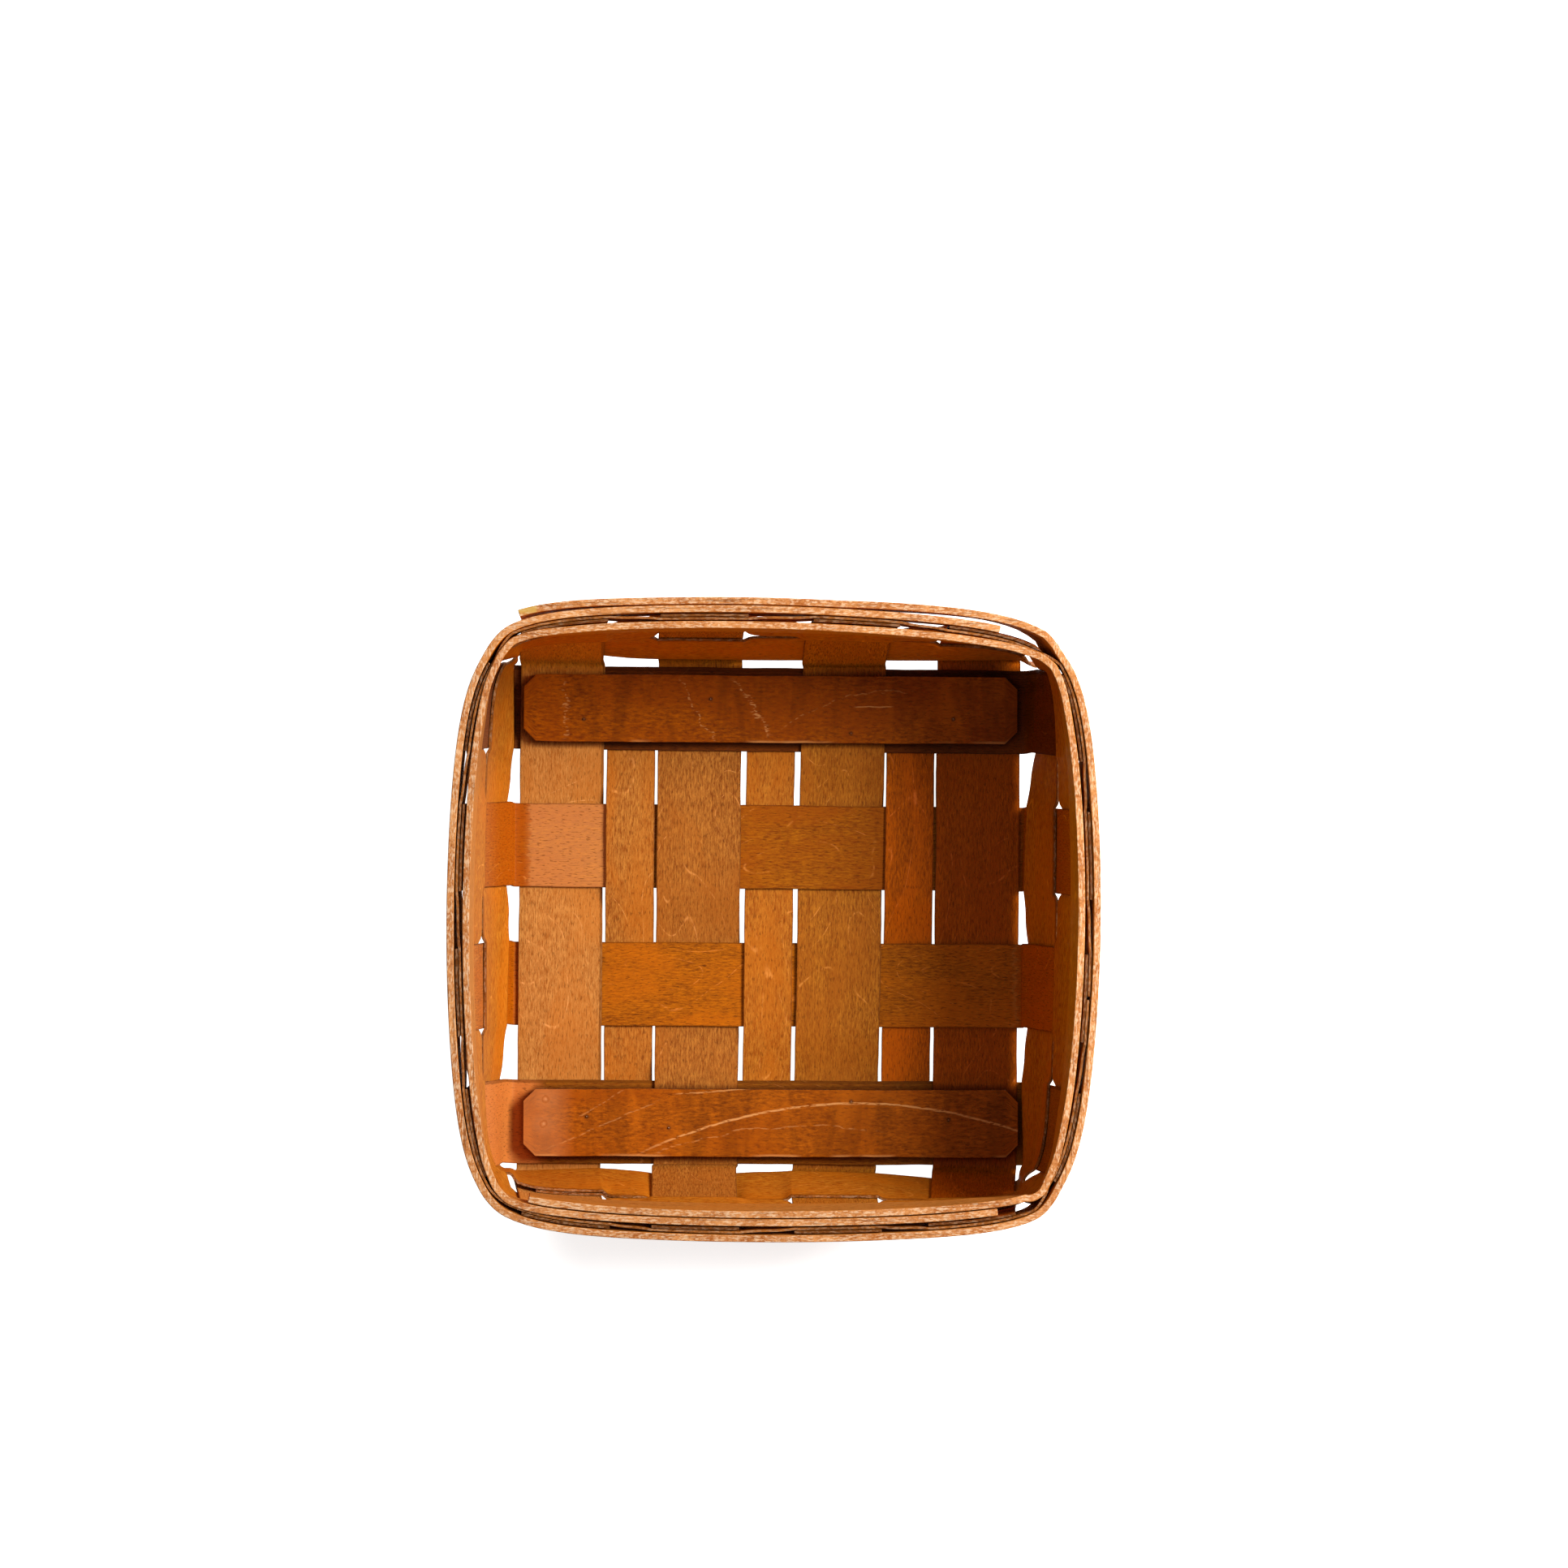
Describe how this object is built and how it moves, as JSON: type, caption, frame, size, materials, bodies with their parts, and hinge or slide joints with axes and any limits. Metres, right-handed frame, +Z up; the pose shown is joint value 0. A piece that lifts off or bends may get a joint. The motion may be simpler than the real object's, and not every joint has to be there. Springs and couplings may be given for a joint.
{
  "type": "square splint basket",
  "caption": "Shallow open basket of flat plain-woven wood splints, with two wood cleats tacked across the base inside and a pair of overlapping bent wood hoops at the rim.",
  "frame": {"origin": "middle of the basket in plan, at the underside of the lowest tack heads that it stands on", "axes": "+Z up, out of the basket's opening; the cleats run along X; -Y is the side where the inner hoop's ends overlap, +Y the side where the outer hoop's ends overlap"},
  "size_m": [0.2376, 0.2344, 0.0836],
  "materials": {
    "long_splint_wood": "honey stain, satin",
    "cross_splint_wood": "honey stain, satin",
    "weaver_wood": "honey stain, satin",
    "hoop_wood": "light stain, matt",
    "cleat_wood": "honey stain, satin",
    "tack_steel": "dull"
  },
  "bodies": {
    "root": {"cleat_back": "cleat_wood", "cleat_front": "cleat_wood", "cleat_tack_1": "tack_steel", "cleat_tack_2": "tack_steel", "cleat_tack_3": "tack_steel", "cleat_tack_4": "tack_steel", "cleat_tack_5": "tack_steel", "cleat_tack_6": "tack_steel", "cleat_tack_7": "tack_steel", "cleat_tack_8": "tack_steel", "cross_splint_1": "cross_splint_wood", "cross_splint_2": "cross_splint_wood", "cross_splint_3": "cross_splint_wood", "cross_splint_4": "cross_splint_wood", "filler_splint_1": "long_splint_wood", "filler_splint_2": "long_splint_wood", "filler_splint_3": "long_splint_wood", "inner_hoop": "hoop_wood", "long_splint_1": "long_splint_wood", "long_splint_2": "long_splint_wood", "long_splint_3": "long_splint_wood", "long_splint_4": "long_splint_wood", "lower_weaver": "weaver_wood", "outer_hoop": "hoop_wood", "rim_tack_1": "tack_steel", "rim_tack_2": "tack_steel", "rim_tack_3": "tack_steel", "rim_tack_4": "tack_steel", "rim_tack_5": "tack_steel", "rim_tack_6": "tack_steel", "rim_tack_7": "tack_steel", "rim_tack_8": "tack_steel", "rim_weaver": "weaver_wood", "upper_weaver": "weaver_wood"}
  },
  "joints": []
}
